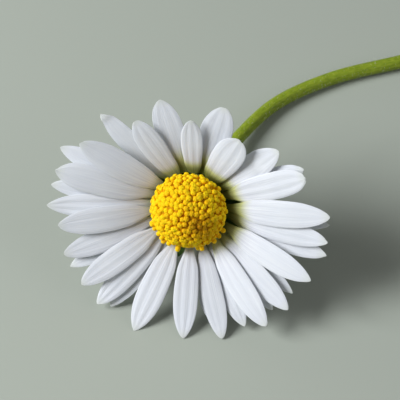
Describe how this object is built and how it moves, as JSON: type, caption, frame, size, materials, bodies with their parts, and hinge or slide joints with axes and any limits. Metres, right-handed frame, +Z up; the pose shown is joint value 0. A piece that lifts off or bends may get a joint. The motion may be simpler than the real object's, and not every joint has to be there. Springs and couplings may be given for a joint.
{
  "type": "daisy flower",
  "caption": "Picked lawn daisy lying on a surface: white ray petals round a dome of tiny yellow florets, green bracts behind and a slender curved green stem.",
  "frame": {"origin": "on the surface that the flower lies on, under the middle of its box", "axes": "+Z up, +X along the lying stem from the head to the cut end, the flower's face looks towards -Y and up"},
  "size_m": [0.0544, 0.0316, 0.0153],
  "materials": {
    "petal": "matte translucent white",
    "disc": "matte grainy yellow",
    "stem": "soft satin green, finely hairy",
    "bract": "matte green, finely hairy"
  },
  "bodies": {
    "root": {"stem": "stem", "disc_florets": "disc", "bract_01": "bract", "bract_02": "bract", "bract_03": "bract", "bract_04": "bract", "bract_05": "bract", "bract_06": "bract", "bract_07": "bract", "bract_08": "bract", "bract_09": "bract", "bract_10": "bract", "bract_11": "bract", "bract_12": "bract", "bract_13": "bract", "ray_01": "petal", "ray_02": "petal", "ray_03": "petal", "ray_04": "petal", "ray_05": "petal", "ray_06": "petal", "ray_07": "petal", "ray_08": "petal", "ray_09": "petal", "ray_10": "petal", "ray_11": "petal", "ray_12": "petal", "ray_13": "petal", "ray_14": "petal", "ray_15": "petal", "ray_16": "petal", "ray_17": "petal", "ray_18": "petal", "ray_19": "petal", "ray_20": "petal", "ray_21": "petal", "ray_22": "petal", "ray_23": "petal", "ray_24": "petal", "ray_25": "petal", "ray_26": "petal", "ray_27": "petal", "ray_28": "petal", "ray_29": "petal", "ray_30": "petal", "ray_31": "petal", "ray_32": "petal", "ray_33": "petal", "ray_34": "petal"}
  },
  "joints": []
}
